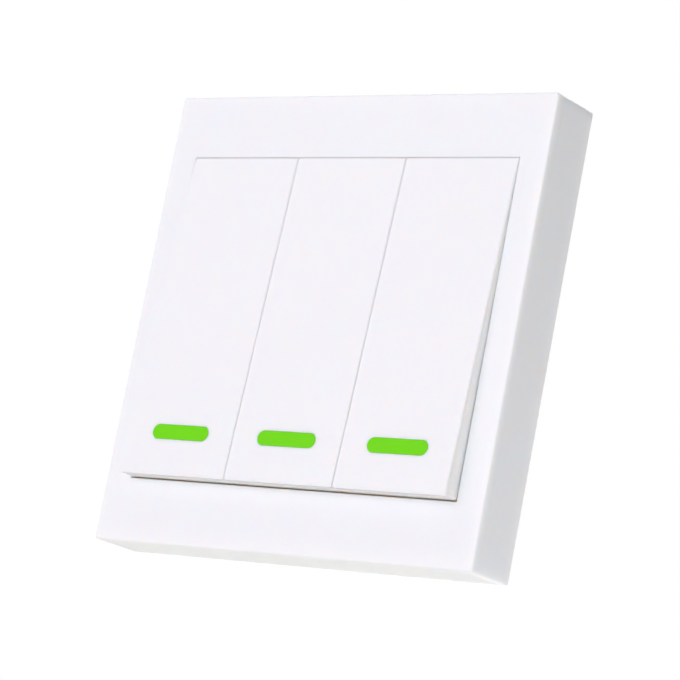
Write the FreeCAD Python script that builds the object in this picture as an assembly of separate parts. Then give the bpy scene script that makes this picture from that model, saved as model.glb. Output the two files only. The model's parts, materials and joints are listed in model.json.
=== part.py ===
import FreeCAD, Part
import math
import os
from FreeCAD import Vector

# Three-gang wireless wall switch, one STEP file for each piece.
# +Z is up, +X is to the right as one faces the panel, and +Y points into the wall.
# The origin is the centre of the face that lies on the wall. Every depth below is a distance
# from the wall plane, so a point at some depth lies at y = -depth. All sizes are in millimetres.

# The square panel and its frame
panel_width = 86.0
panel_height = 86.0
frame_wall = 2.2
frame_face = 1.5
frame_corner_radius = 0.45
frame_edge_radius = 0.4
frame_inner_radius = 0.8
side_border = 5.7
window_rim = 0.8
window_rim_depth = 1.5
window_edge_chamfer = 0.15

# The 12 V cell that lies behind the lower border, and its contacts
cell_diameter = 8.0
cell_length = 28.2
cell_nub_diameter = 3.6
cell_nub_length = 0.8
cell_depth_play = 0.2
cell_height_play = 0.45
cell_end_play = 0.05
contact_thickness = 0.3
contact_width = 5.0
contact_foot = 3.6
contact_spring_reach = 1.9
contact_rise = 4.6

# The ribs of the frame and the claws of the carrier that hold the cell between them
cell_rib_thickness = 1.5
cell_rib_spacing = 14.0
cell_rib_start = 0.6
claw_offset = 1.6
claw_reach = 3.7
claw_root = 1.0
claw_play = 0.2

# The layers from the wall forwards
cover_thickness = 1.6
cover_edge_play = 0.2
space_behind_board = 1.8
board_thickness = 1.2
space_before_board = 1.0
carrier_thickness = 1.5
carrier_edge_play = 0.3

# The rockers
rocker_names = ["left", "middle", "right"]
rocker_side_gap = 0.15
rocker_top_gap = 0.15
rocker_foot_gap = 0.25
rocker_spacing = 0.15
rocker_rise = 3.4
rocker_face_wall = 1.4
rocker_side_wall = 1.2
rocker_corner_radius = 0.4
rocker_edge_radius = 0.3
rocker_top_chamfer = 0.2
skirt_clearance = 0.5
rocker_rib_thickness = 0.8
rocker_rib_depth = 1.2
rocker_rib_count = 3

# The hinge at the top of each rocker
pin_radius = 0.8
pin_play = 0.05
pin_above_carrier = 1.8
ear_half_height = 1.5
ear_thickness = 1.4
ear_above_pin = 0.7
ear_play = 0.3
ear_mouth = 1.3
lug_thickness = 1.2
lug_half_height = 1.3
lug_spacing = 15.2
lug_side_play = 0.2

# The hook that holds each rocker in and sets where it rests
hook_width = 4.0
hook_thickness = 1.2
hook_catch = 0.7
hook_head = 0.9
hook_tip = 0.3
hook_rest_play = 0.05
hook_slot_play = 0.3
hook_bend_room = 0.8
hook_above_edge = 3.6

# The green markers
marker_length = 13.3
marker_width = 2.85
marker_above_edge = 8.2
marker_flange = 1.0
marker_flange_thickness = 0.8
marker_play = 0.03

# The push switches
switch_side = 6.0
switch_base_height = 3.2
switch_cover_thickness = 0.3
switch_well_width = 5.0
switch_well_depth = 1.6
switch_opening_play = 0.5
plunger_radius = 1.7
plunger_proud = 0.8
plunger_flange_width = 4.6
plunger_flange_thickness = 0.6
plunger_side_play = 0.1
plunger_rest_play = 0.02
plunger_travel = 0.3
press_arm = 18.0
presser_width = 3.0
presser_web = 1.0
presser_play = 0.05
leg_width = 0.7
leg_thickness = 0.2
leg_spacing = 4.5
leg_rise = 0.6
leg_reach = 1.2

# The circuit board
board_margin = 1.8
board_side_margin = 1.8
board_leg_width = 6.5
board_notch_play = 1.0

# Screws inside the panel
screw_head_radius = 1.9
screw_head_height = 1.2
screw_shank_radius = 1.0
screw_play = 0.05
screw_hole_play = 0.2
screw_slot_width = 0.6
screw_slot_depth = 0.6
boss_radius = 2.4
carrier_screw_inset = 7.8
carrier_screw_bite = 3.4
board_screw_side_inset = 3.4
board_screw_rise = 6.4
board_screw_bite = 3.2
board_boss_floor = 0.5

# The tongues at the carrier's top edge and the clips that hold the board's top edge
tongue_width = 8.0
tongue_side_inset = 15.8
tongue_reach = 0.9
tongue_play = 0.15
clip_width = 4.0
clip_side_inset = 3.4
clip_thickness = 1.0
clip_play = 0.15
clip_catch = 0.6
clip_head = 0.7
clip_pad = 2.0

# The wall screws' slots, which this inset sets 60.3 apart to suit a standard wall box
wall_screw_inset = 12.85
wall_slot_width = 4.2
wall_slot_length = 6.6
wall_screw_head_radius = 4.0
wall_slot_pad = 0.4
wall_slot_pad_margin = 1.6

# The snap hooks and pillars of the rear cover
snap_width = 6.0
snap_thickness = 1.2
snap_inset = 0.7
snap_height = 2.8
snap_barb = 0.5
snap_barb_height = 1.2
snap_barb_flat = 0.4
snap_play = 0.2
snap_seat_play = 0.05
snap_end_inset = 20.8
snap_window = 2.4
pillar_width = 4.0
pillar_web = 1.2
pillar_side_inset = 4.8
pillar_end_inset = 11.8
cover_rib_thickness = 1.0
cover_rib_height = 1.0
cover_rib_inset = 12.15
cover_rib_end_inset = 5.0

# The radio parts
chip_length = 4.9
chip_width = 3.9
chip_height = 1.45
chip_standoff = 0.1
chip_bevel = 0.25
chip_lead_pitch = 1.27
chip_lead_width = 0.42
chip_lead_reach = 1.05
chip_lead_thickness = 0.2
chip_leads_a_side = 4
chip_x = -8.0
chip_z = 2.0
transistor_length = 2.9
transistor_width = 1.3
transistor_height = 1.0
transistor_lead_spacing = 1.9
transistor_lead_reach = 0.6
transistor_x = 5.0
transistor_drop = 12.0
resonator_length = 11.0
resonator_width = 4.6
resonator_height = 3.2
resonator_flange = 0.3
resonator_flange_height = 0.5
resonator_side_inset = 4.0
antenna_thickness = 0.4
antenna_strip_width = 1.2
antenna_height = 3.6
antenna_left = 1.0
antenna_foot = 1.4
antenna_end_play = 1.1
radio_opening_side_inset = 7.93
radio_opening_margin = 0.6
small_part_length = 2.0
small_part_width = 1.25
resistor_height = 0.5
capacitor_height = 0.85
small_part_pitch = 3.2
resistor_count = 6
resistor_x = -14.0
resistor_z = -8.0
capacitor_count = 4
capacitor_x = 6.0
capacitor_drop = 20.0

# How far a cutting shape runs past the surface that it opens
overrun = 1.0

# Depths and places that follow from the sizes above
panel_depth = cover_thickness + cell_depth_play + cell_diameter + cell_depth_play + frame_face
frame_inside = panel_depth - frame_face
inner_half_width = panel_width / 2 - frame_wall
inner_half_height = panel_height / 2 - frame_wall
end_border = frame_wall + cell_height_play + cell_diameter + cell_height_play + window_rim
window_half_width = panel_width / 2 - side_border
window_half_height = panel_height / 2 - end_border

board_back = cover_thickness + space_behind_board
board_front = board_back + board_thickness
carrier_back = board_front + space_before_board
carrier_front = carrier_back + carrier_thickness

rocker_count = len(rocker_names)
rocker_pitch = (2 * window_half_width - 2 * rocker_side_gap + rocker_spacing) / rocker_count
rocker_width = rocker_pitch - rocker_spacing
rocker_top = window_half_height - rocker_top_gap
rocker_bottom = rocker_foot_gap - window_half_height
rocker_length = rocker_top - rocker_bottom
rocker_slope = rocker_rise / rocker_length
rocker_centres = [rocker_pitch * (i - (rocker_count - 1) / 2) for i in range(rocker_count)]

hinge_depth = carrier_front + pin_above_carrier
hinge_z = rocker_top - rocker_side_wall - ear_play - ear_half_height
switch_z = hinge_z - press_arm
switch_base_top = board_front + switch_base_height
switch_top = switch_base_top + switch_cover_thickness
plunger_top = switch_top + plunger_proud
press_angle = math.asin(plunger_travel / press_arm)
edge_travel = (hinge_z - rocker_bottom) * math.sin(press_angle)
skirt_depth = carrier_front + skirt_clearance + edge_travel

hook_z = rocker_bottom + hook_above_edge
marker_z = rocker_bottom + marker_above_edge
presser_low = switch_z - presser_width / 2
marker_high = marker_z + marker_width / 2 + marker_flange
rocker_rib_pitch = (presser_low - marker_high) / (rocker_rib_count + 0.5)

cell_z = -(window_half_height + window_rim + cell_height_play + cell_diameter / 2)
cell_depth = cover_thickness + cell_depth_play + cell_diameter / 2
cell_bay_half = cell_length / 2 + cell_end_play + contact_thickness
cell_rib_places = [-cell_rib_spacing / 2, cell_rib_spacing / 2]

border_middle = (inner_half_height + window_half_height + window_rim) / 2
carrier_screw_x = inner_half_width - carrier_screw_inset
board_half_width = rocker_pitch * (rocker_count - 1) / 2 + switch_side / 2 + board_side_margin
board_top = inner_half_height - board_margin
board_waist = hook_z + hook_thickness / 2 + hook_bend_room + board_notch_play
bay_top = cell_z + cell_diameter / 2 + cell_height_play / 2
board_screw_x = board_half_width - board_screw_side_inset
board_screw_z = board_waist + board_screw_rise
board_screw_places = [(x, board_screw_z) for x in (-board_screw_x, board_screw_x)]
carrier_screw_places = [(x, -border_middle) for x in (-carrier_screw_x, carrier_screw_x)]
tongue_x = inner_half_width - tongue_side_inset
clip_x = board_half_width - clip_side_inset

wall_screw_spacing = panel_width - 2 * wall_screw_inset
snap_offset = inner_half_height - snap_end_inset
snap_places = [(side, z) for side in (-1, 1) for z in (-snap_offset, snap_offset)]
pillar_x = inner_half_width - pillar_side_inset
pillar_z = inner_half_height - pillar_end_inset
cover_rib_x = wall_screw_spacing / 2 - cover_rib_inset

radio_low = window_half_height + window_rim + radio_opening_margin
radio_z = (radio_low + board_top) / 2
radio_opening_half_width = board_half_width - radio_opening_side_inset
antenna_right = radio_opening_half_width - antenna_end_play - antenna_foot
resonator_x = resonator_side_inset + resonator_length / 2 - radio_opening_half_width
transistor_z = board_top - transistor_drop
capacitor_z = board_top - capacitor_drop


def block(x0, x1, z0, z1, d0, d1):
    """Box between two places across, two heights and two depths."""
    return Part.makeBox(x1 - x0, d1 - d0, z1 - z0, Vector(x0, -d1, z0))


def plate(x, z, width, height, d0, d1):
    """Box about a centre line that runs along the depth."""
    return block(x - width / 2, x + width / 2, z - height / 2, z + height / 2, d0, d1)


def rod(x, z, radius, d0, d1):
    """Round bar along the depth."""
    return Part.makeCylinder(radius, d1 - d0, Vector(x, -d0, z), Vector(0, -1, 0))


def cross_rod(x0, x1, z, depth, radius):
    """Round bar along X."""
    return Part.makeCylinder(radius, x1 - x0, Vector(x0, -depth, z), Vector(1, 0, 0))


def long_round(x, z, length, width, d0, d1):
    """Bar along the depth whose section has two half-round ends."""
    reach = (length - width) / 2
    ends = [rod(x + side * reach, z, width / 2, d0, d1) for side in (-1, 1)]
    return plate(x, z, 2 * reach, width, d0, d1).multiFuse(ends).removeSplitter()


def side_prism(outline, x0, x1):
    """Prism along X over an outline of (depth, height) points."""
    corners = [Vector(x0, -depth, z) for depth, z in outline]
    return Part.Face(Part.makePolygon(corners + corners[:1])).extrude(Vector(x1 - x0, 0, 0))


def plan_prism(outline, z0, z1):
    """Prism along Z over an outline of (x, depth) points."""
    corners = [Vector(x, -depth, z0) for x, depth in outline]
    return Part.Face(Part.makePolygon(corners + corners[:1])).extrude(Vector(0, 0, z1 - z0))


def joined(body, pieces):
    """One solid out of a body and what is moulded onto it."""
    return body.multiFuse(pieces).removeSplitter()


def edges_along(shape, direction):
    """Straight edges that run along a direction."""
    return [e for e in shape.Edges if len(e.Vertexes) == 2
            and abs(abs((e.Vertexes[1].Point - e.Vertexes[0].Point).normalize().dot(direction)) - 1) < 1e-6]


def edges_at_depth(shape, depth):
    """Edges that lie wholly at one depth."""
    return [e for e in shape.Edges if abs(e.BoundBox.YMin + depth) < 1e-5
            and abs(e.BoundBox.YMax + depth) < 1e-5]


def rounded_plate(x, z, width, height, d0, d1, radius):
    """Plate with its four corners rounded."""
    body = plate(x, z, width, height, d0, d1)
    return body.makeFillet(radius, edges_along(body, Vector(0, 1, 0)))


def folded_strip(path, thickness, z0, z1):
    """Metal strip folded along (x, depth) points, with round folds."""
    pieces = []
    for start, end in zip(path, path[1:]):
        run = math.dist(start, end)
        across = thickness / 2 / run
        dx = (end[1] - start[1]) * across
        dd = (start[0] - end[0]) * across
        outline = [(start[0] + dx, start[1] + dd), (end[0] + dx, end[1] + dd),
                   (end[0] - dx, end[1] - dd), (start[0] - dx, start[1] - dd)]
        pieces.append(plan_prism(outline, z0, z1))
    for x, depth in path[1:-1]:
        pieces.append(Part.makeCylinder(thickness / 2, z1 - z0, Vector(x, -depth, z0), Vector(0, 0, 1)))
    return joined(pieces[0], pieces[1:])


def screw(x, z, seat, bite):
    """Slotted screw driven forwards: its head lies behind the depth of its seat."""
    low = seat - screw_head_height
    head = rod(x, z, screw_head_radius, low, seat)
    shank = rod(x, z, screw_shank_radius, seat, seat + bite)
    slot = plate(x, z, 2 * screw_head_radius, screw_slot_width, low, low + screw_slot_depth)
    return joined(head, [shank]).cut(slot)


def lead(x_root, depth_root, reach, foot_depth, z, width, thickness):
    """Bent lead: out of the body at one depth, over to the board and out again as a foot."""
    toward = math.copysign(1, foot_depth - depth_root)
    side = math.copysign(1, reach)
    bend = x_root + reach / 2
    t = thickness / 2
    outline = [(x_root, depth_root - toward * t), (bend + side * t, depth_root - toward * t),
               (bend + side * t, foot_depth - toward * t), (x_root + reach, foot_depth - toward * t),
               (x_root + reach, foot_depth + toward * t), (bend - side * t, foot_depth + toward * t),
               (bend - side * t, depth_root + toward * t), (x_root, depth_root + toward * t)]
    return plan_prism(outline, z - width / 2, z + width / 2)


def crossed_post(x, z, width, web, d0, d1):
    """Moulded post of two crossing webs, along the depth."""
    return plate(x, z, width, web, d0, d1).fuse(plate(x, z, web, width, d0, d1)).removeSplitter()


def face_depth(z):
    """Depth of a rocker's front face at a height."""
    return panel_depth + rocker_slope * (rocker_top - z)


def cell_clearance():
    """Round space for the cell with a little play, used to hollow what holds it."""
    return cross_rod(-cell_length / 2, cell_length / 2, cell_z, cell_depth,
                     cell_diameter / 2 + cell_depth_play / 2)


def make_front_frame():
    """Square moulded frame with its side walls, window, screw bosses, cell ribs and snap pockets."""
    body = plate(0, 0, panel_width, panel_height, 0, panel_depth)
    body = body.makeFillet(frame_corner_radius, edges_along(body, Vector(0, 1, 0)))
    body = body.makeFillet(frame_edge_radius, edges_at_depth(body, panel_depth))
    inside = rounded_plate(0, 0, 2 * inner_half_width, 2 * inner_half_height, 0, frame_inside,
                           frame_inner_radius)
    body = body.cut(inside)
    rim = plate(0, 0, 2 * (window_half_width + window_rim), 2 * (window_half_height + window_rim),
                frame_inside - window_rim_depth, frame_inside)
    bosses = [rod(x, z, boss_radius, carrier_front, frame_inside) for x, z in carrier_screw_places]
    ribs = [block(x - cell_rib_thickness / 2, x + cell_rib_thickness / 2, -inner_half_height,
                  cell_z - claw_offset, cell_depth + cell_rib_start, frame_inside) for x in cell_rib_places]
    body = joined(body, [rim] + bosses + ribs)
    body = body.cut(plate(0, 0, 2 * window_half_width, 2 * window_half_height,
                          carrier_front, panel_depth))
    mouth = [e for e in edges_at_depth(body, panel_depth)
             if abs(e.CenterOfMass.x) < window_half_width + window_edge_chamfer
             and abs(e.CenterOfMass.z) < window_half_height + window_edge_chamfer]
    body = body.makeChamfer(window_edge_chamfer, mouth)
    pilot = carrier_back + carrier_screw_bite + screw_play
    holes = [rod(x, z, screw_shank_radius + screw_play, carrier_front, pilot)
             for x, z in carrier_screw_places]
    pocket_back = cover_thickness + snap_height - snap_barb_height - snap_seat_play
    pocket_front = cover_thickness + snap_height + snap_play
    pocket_reach = inner_half_width + snap_barb + snap_play
    pockets = [plate(side * (inner_half_width + pocket_reach) / 2, z,
                     pocket_reach - inner_half_width, snap_width + 2 * snap_play,
                     pocket_back, pocket_front) for side, z in snap_places]
    reach = inner_half_height + tongue_reach + tongue_play
    pockets += [block(x - tongue_width / 2 - tongue_play, x + tongue_width / 2 + tongue_play,
                      inner_half_height, reach, carrier_back - tongue_play, carrier_front + tongue_play)
                for x in (-tongue_x, tongue_x)]
    return body.cut(holes + pockets + [cell_clearance()])


def make_carrier_plate():
    """Inner plate with the hinge ears, the board's pillars and the saddles for the cell."""
    half_width = inner_half_width - carrier_edge_play
    half_height = inner_half_height - carrier_edge_play
    body = rounded_plate(0, 0, 2 * half_width, 2 * half_height, carrier_back, carrier_front,
                         frame_inner_radius)
    pillars = [rod(x, z, boss_radius, board_front, board_front + board_screw_bite + board_boss_floor)
               for x, z in board_screw_places]
    tongues = [block(x - tongue_width / 2, x + tongue_width / 2, half_height,
                     inner_half_height + tongue_reach, carrier_back, carrier_front)
               for x in (-tongue_x, tongue_x)]
    clip_back = board_back - clip_play
    clip = [(carrier_back, board_top + clip_play + clip_thickness), (carrier_back, board_top + clip_play),
            (clip_back, board_top + clip_play), (clip_back, board_top - clip_catch),
            (clip_back - clip_head / 2, board_top - clip_catch),
            (clip_back - clip_head, board_top + clip_play),
            (clip_back - clip_head, board_top + clip_play + clip_thickness)]
    clips = [side_prism(clip, x - clip_width / 2, x + clip_width / 2) for x in (-clip_x, clip_x)]
    clips += [block(x - clip_width / 2, x + clip_width / 2, board_top - clip_pad, board_top,
                    board_front, carrier_back) for x in (-clip_x, clip_x)]
    ears = []
    for centre in rocker_centres:
        for side in (-1, 1):
            near = centre + side * (lug_spacing / 2 + lug_thickness / 2 + lug_side_play)
            far = near + side * ear_thickness
            ears.append(block(min(near, far), max(near, far), hinge_z - ear_half_height,
                              hinge_z + ear_half_height, carrier_front, hinge_depth + ear_above_pin))
    body = joined(body, pillars + tongues + clips + ears)
    cuts = [cross_rod(-window_half_width, window_half_width, hinge_z, hinge_depth,
                      pin_radius + pin_play),
            block(-window_half_width, window_half_width, hinge_z - ear_mouth / 2,
                  hinge_z + ear_mouth / 2, hinge_depth, hinge_depth + ear_above_pin)]
    opening = switch_side + 2 * switch_opening_play
    slot_top = hook_z + hook_thickness / 2 + hook_bend_room
    slot_bottom = hook_z - hook_thickness / 2 - hook_slot_play
    for centre in rocker_centres:
        cuts.append(plate(centre, switch_z, opening, opening, carrier_back, carrier_front))
        cuts.append(block(centre - hook_width / 2 - hook_slot_play, centre + hook_width / 2 + hook_slot_play,
                          slot_bottom, slot_top, carrier_back, carrier_front))
    for x, z in board_screw_places:
        cuts.append(rod(x, z, screw_shank_radius + screw_play, board_front,
                        board_front + board_screw_bite))
    for x, z in carrier_screw_places:
        cuts.append(rod(x, z, screw_shank_radius + screw_hole_play, carrier_back, carrier_front))
    cuts.append(block(-radio_opening_half_width, radio_opening_half_width, radio_low, board_top,
                      carrier_back, carrier_front))
    bay_half = cell_bay_half + contact_foot + contact_spring_reach
    cuts.append(block(-bay_half, bay_half, -half_height, bay_top, carrier_back, carrier_front))
    body = body.cut(cuts)
    claw_low = cell_z + claw_offset
    claw_front = cell_depth + claw_reach
    under_rim = frame_inside - window_rim_depth - claw_play
    claw = [(carrier_back, claw_low), (claw_front, claw_low), (claw_front, bay_top), (under_rim, bay_top),
            (under_rim, bay_top + claw_root), (carrier_back, bay_top + claw_root)]
    body = joined(body, [side_prism(claw, x - cell_rib_thickness / 2, x + cell_rib_thickness / 2)
                         for x in cell_rib_places])
    return body.cut(cell_clearance())


def make_rear_cover():
    """Plate that closes the back, with wall-screw slots, snap hooks and pillars."""
    half_width = inner_half_width - cover_edge_play
    half_height = inner_half_height - cover_edge_play
    body = rounded_plate(0, 0, 2 * half_width, 2 * half_height, 0, cover_thickness, frame_inner_radius)
    pieces = []
    snap_outer = inner_half_width - snap_inset
    snap_tip = cover_thickness + snap_height
    for side, z in snap_places:
        barb = [(snap_outer - snap_thickness, cover_thickness), (snap_outer, cover_thickness),
                (snap_outer, snap_tip - snap_barb_height),
                (inner_half_width + snap_barb, snap_tip - snap_barb_height),
                (inner_half_width + snap_barb, snap_tip - snap_barb_height + snap_barb_flat),
                (snap_outer, snap_tip), (snap_outer - snap_thickness, snap_tip)]
        pieces.append(plan_prism([(side * x, depth) for x, depth in barb],
                                 z - snap_width / 2, z + snap_width / 2))
    pieces += [crossed_post(x, z, pillar_width, pillar_web, cover_thickness, carrier_back)
               for x in (-pillar_x, pillar_x) for z in (-pillar_z, pillar_z)]
    pieces += [plate(x, 0, cover_rib_thickness, 2 * (pillar_z - cover_rib_end_inset), cover_thickness,
                     cover_thickness + cover_rib_height) for x in (-cover_rib_x, cover_rib_x)]
    wall_screws = [-wall_screw_spacing / 2, wall_screw_spacing / 2]
    pads = [long_round(x, 0, wall_slot_length + 2 * wall_slot_pad_margin,
                       wall_slot_width + 2 * wall_slot_pad_margin, cover_thickness,
                       cover_thickness + wall_slot_pad) for x in wall_screws]
    body = joined(body, pieces + pads)
    slots = [long_round(x, 0, wall_slot_length, wall_slot_width, 0, cover_thickness + wall_slot_pad)
             for x in wall_screws]
    windows = [plate(side * (snap_outer - snap_thickness - snap_window / 2), z, snap_window, snap_width,
                     0, cover_thickness) for side, z in snap_places]
    return body.cut(slots + windows)


def make_rocker(centre):
    """Hollow rocker with its hinge lugs and pins, presser, ribs and hook."""
    left = centre - rocker_width / 2
    right = centre + rocker_width / 2
    over = rocker_top + rocker_corner_radius
    wedge = side_prism([(skirt_depth, over), (face_depth(over), over),
                        (face_depth(rocker_bottom), rocker_bottom), (skirt_depth, rocker_bottom)],
                       left, right)
    upright = [e for e in edges_along(wedge, Vector(0, 1, 0)) if e.CenterOfMass.z < 0]
    wedge = wedge.makeFillet(rocker_corner_radius, upright)
    front = [e for e in wedge.Edges if abs(e.CenterOfMass.y + face_depth(e.CenterOfMass.z)) < 0.05
             and e.BoundBox.ZMin < over - rocker_corner_radius]
    wedge = wedge.makeFillet(rocker_edge_radius, front)
    wedge = wedge.cut(block(left, right, rocker_top, over + overrun, 0, panel_depth + rocker_rise))
    crown = [e for e in wedge.Edges if abs(e.BoundBox.ZMin - rocker_top) < 1e-5
             and abs(e.BoundBox.ZMax - rocker_top) < 1e-5 and e.CenterOfMass.y < -skirt_depth - 1e-3]
    wedge = wedge.makeChamfer(rocker_top_chamfer, crown)

    inner_top = rocker_top - rocker_side_wall
    inner_bottom = rocker_bottom + rocker_side_wall
    hollow = side_prism([(carrier_front, inner_top), (face_depth(inner_top) - rocker_face_wall, inner_top),
                         (face_depth(inner_bottom) - rocker_face_wall, inner_bottom),
                         (carrier_front, inner_bottom)],
                        left + rocker_side_wall, right - rocker_side_wall)
    shell = wedge.cut(hollow)

    pieces = []
    lug_root = face_depth(hinge_z + lug_half_height) - rocker_face_wall / 2
    for side in (-1, 1):
        middle = centre + side * lug_spacing / 2
        near = middle - lug_thickness / 2
        far = middle + lug_thickness / 2
        pieces.append(block(near, far, hinge_z - lug_half_height, hinge_z + lug_half_height,
                            hinge_depth - lug_half_height, lug_root))
        pin = [middle, middle + side * (lug_thickness / 2 + lug_side_play + ear_thickness)]
        pieces.append(cross_rod(min(pin), max(pin), hinge_z, hinge_depth, pin_radius))

    presser_root = face_depth(switch_z + presser_width / 2) - rocker_face_wall / 2
    pieces.append(crossed_post(centre, switch_z, presser_width, presser_web,
                               plunger_top + presser_play, presser_root))

    hook_back = hook_z - hook_thickness / 2
    hook_front = hook_z + hook_thickness / 2
    hook_root = face_depth(hook_front) - rocker_face_wall / 2
    catch = carrier_back - hook_rest_play
    hook = [(hook_root, hook_front), (hook_root, hook_back), (catch, hook_back),
            (catch, hook_back - hook_slot_play - hook_catch),
            (catch - hook_tip, hook_back - hook_slot_play - hook_catch),
            (catch - hook_head, hook_back), (catch - hook_head, hook_front)]
    pieces.append(side_prism(hook, centre - hook_width / 2, centre + hook_width / 2))

    for i in range(rocker_rib_count):
        z = presser_low - (i + 0.5) * rocker_rib_pitch
        inside = face_depth(z + rocker_rib_thickness) - rocker_face_wall
        pieces.append(plate(centre, z, rocker_width - rocker_side_wall, rocker_rib_thickness,
                            inside - rocker_rib_depth, inside + rocker_face_wall / 2))
    shell = joined(shell, pieces)
    return shell.cut(long_round(centre, marker_z, marker_length, marker_width,
                                carrier_front, face_depth(rocker_bottom) + overrun))


def make_marker(centre):
    """Round-ended insert, flush with the rocker's sloping face, with a flange behind it."""
    half = marker_width / 2 + marker_flange
    top = marker_z + half
    bottom = marker_z - half
    pill = long_round(centre, marker_z, marker_length - 2 * marker_play, marker_width - 2 * marker_play,
                      carrier_front, face_depth(rocker_bottom) + overrun)
    through = side_prism([(face_depth(top) - rocker_face_wall, top), (face_depth(top), top),
                          (face_depth(bottom), bottom), (face_depth(bottom) - rocker_face_wall, bottom)],
                         centre - marker_length, centre + marker_length)
    inside_top = face_depth(top) - rocker_face_wall
    inside_bottom = face_depth(bottom) - rocker_face_wall
    flange = side_prism([(inside_top - marker_flange_thickness, top), (inside_top, top),
                         (inside_bottom, bottom), (inside_bottom - marker_flange_thickness, bottom)],
                        centre - marker_length / 2 - marker_flange,
                        centre + marker_length / 2 + marker_flange)
    return joined(pill.common(through), [flange])


def make_circuit_board():
    """Board cut away for the cell, the wall screws and the rocker hooks, with its holes."""
    bay_half = cell_bay_half + contact_thickness
    leg_half = bay_half + board_leg_width
    low = cell_z - contact_width / 2 - board_notch_play
    body = block(-board_half_width, board_half_width, board_waist, board_top, board_back, board_front)
    body = joined(body, [block(-leg_half, leg_half, low, board_waist, board_back, board_front)])
    cuts = [block(-bay_half, bay_half, low, bay_top, board_back, board_front),
            plate(0, (board_waist + low) / 2, hook_width + 2 * board_notch_play, board_waist - low,
                  board_back, board_front)]
    head_room = wall_screw_head_radius + board_notch_play
    for side in (-1, 1):
        edge = wall_screw_spacing / 2 - wall_slot_length / 2 + wall_slot_width / 2 - head_room
        cuts.append(block(min(side * edge, side * panel_width / 2), max(side * edge, side * panel_width / 2),
                          -head_room, head_room, board_back, board_front))
    cuts += [rod(x, z, screw_shank_radius + screw_hole_play, board_back, board_front)
             for x, z in board_screw_places]
    return body.cut(cuts)


def make_switch_base(centre):
    """Moulded base of a push switch, with the well that its plunger moves in."""
    body = plate(centre, switch_z, switch_side, switch_side, board_front, switch_base_top)
    return body.cut(plate(centre, switch_z, switch_well_width, switch_well_width,
                          switch_base_top - switch_well_depth, switch_base_top))


def make_switch_cover(centre):
    """Stamped steel cover of a push switch."""
    body = plate(centre, switch_z, switch_side, switch_side, switch_base_top, switch_top)
    return body.cut(rod(centre, switch_z, plunger_radius + plunger_side_play, switch_base_top, switch_top))


def make_switch_plunger(centre):
    """Plunger of a push switch, held in by a flange under the cover."""
    flange_top = switch_base_top - plunger_rest_play
    stem = rod(centre, switch_z, plunger_radius, flange_top, plunger_top)
    flange = plate(centre, switch_z, plunger_flange_width, plunger_flange_width,
                   flange_top - plunger_flange_thickness, flange_top)
    return joined(flange, [stem])


def make_switch_legs():
    """All the legs of the push switches: each leaves the side of its base and stands on the board."""
    legs = []
    for centre in rocker_centres:
        for side in (-1, 1):
            for z in (-leg_spacing / 2, leg_spacing / 2):
                legs.append(lead(centre + side * switch_side / 2, board_front + leg_rise,
                                 side * leg_reach, board_front + leg_thickness / 2, switch_z + z,
                                 leg_width, leg_thickness))
    return Part.makeCompound(legs)


def make_battery_cell():
    """Sealed cylindrical cell, its positive nub to the right."""
    low = -cell_length / 2
    shoulder = cell_length / 2 - cell_nub_length
    can = cross_rod(low, shoulder, cell_z, cell_depth, cell_diameter / 2)
    nub = cross_rod(shoulder, cell_length / 2, cell_z, cell_depth, cell_nub_diameter / 2)
    return joined(can, [nub])


def make_contact_positive():
    """Plain folded contact: a foot on the board and an upright against the cell's nub."""
    half = contact_thickness / 2
    upright = cell_length / 2 + cell_end_play + half
    path = [(upright + contact_foot, board_front + half), (upright, board_front + half),
            (upright, board_front + contact_rise)]
    return folded_strip(path, contact_thickness, cell_z - contact_width / 2, cell_z + contact_width / 2)


def make_contact_negative():
    """Folded spring contact: its upright bends back on itself towards the cell."""
    half = contact_thickness / 2
    touch = cell_length / 2 + cell_end_play + half
    upright = touch + contact_spring_reach
    top = board_front + contact_rise
    path = [(-upright - contact_foot, board_front + half), (-upright, board_front + half),
            (-upright, top), (-touch - contact_thickness, top), (-touch, (cell_depth + top) / 2),
            (-touch, cell_depth), (-touch - contact_thickness, cell_depth - contact_thickness)]
    return folded_strip(path, contact_thickness, cell_z - contact_width / 2, cell_z + contact_width / 2)


def make_encoder_chip():
    """Small-outline chip on the back of the board."""
    top = board_back - chip_standoff
    body = plate(chip_x, chip_z, chip_width, chip_length, top - chip_height, top)
    body = body.makeChamfer(chip_bevel, edges_at_depth(body, top - chip_height))
    leads = []
    middle = top - chip_height / 2
    foot = board_back - chip_lead_thickness / 2
    for side in (-1, 1):
        for i in range(chip_leads_a_side):
            z = chip_z + (i - (chip_leads_a_side - 1) / 2) * chip_lead_pitch
            leads.append(lead(chip_x + side * chip_width / 2, middle, side * chip_lead_reach, foot, z,
                              chip_lead_width, chip_lead_thickness))
    return joined(body, leads)


def make_rf_transistor():
    """Three-lead transistor on the back of the board."""
    top = board_back - chip_standoff
    body = plate(transistor_x, transistor_z, transistor_width, transistor_length,
                 top - transistor_height, top)
    middle = top - transistor_height / 2
    foot = board_back - chip_lead_thickness / 2
    half = transistor_width / 2
    places = [(1, 0), (-1, -transistor_lead_spacing / 2), (-1, transistor_lead_spacing / 2)]
    leads = [lead(transistor_x + side * half, middle, side * transistor_lead_reach, foot,
                  transistor_z + z, chip_lead_width, chip_lead_thickness) for side, z in places]
    return joined(body, leads)


def make_saw_resonator():
    """Oval metal can with a thin flange, on the front of the board."""
    flange = long_round(resonator_x, radio_z, resonator_length, resonator_width, board_front,
                        board_front + resonator_flange_height)
    can = long_round(resonator_x, radio_z, resonator_length - 2 * resonator_flange,
                     resonator_width - 2 * resonator_flange, board_front, board_front + resonator_height)
    return joined(flange, [can])


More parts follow.
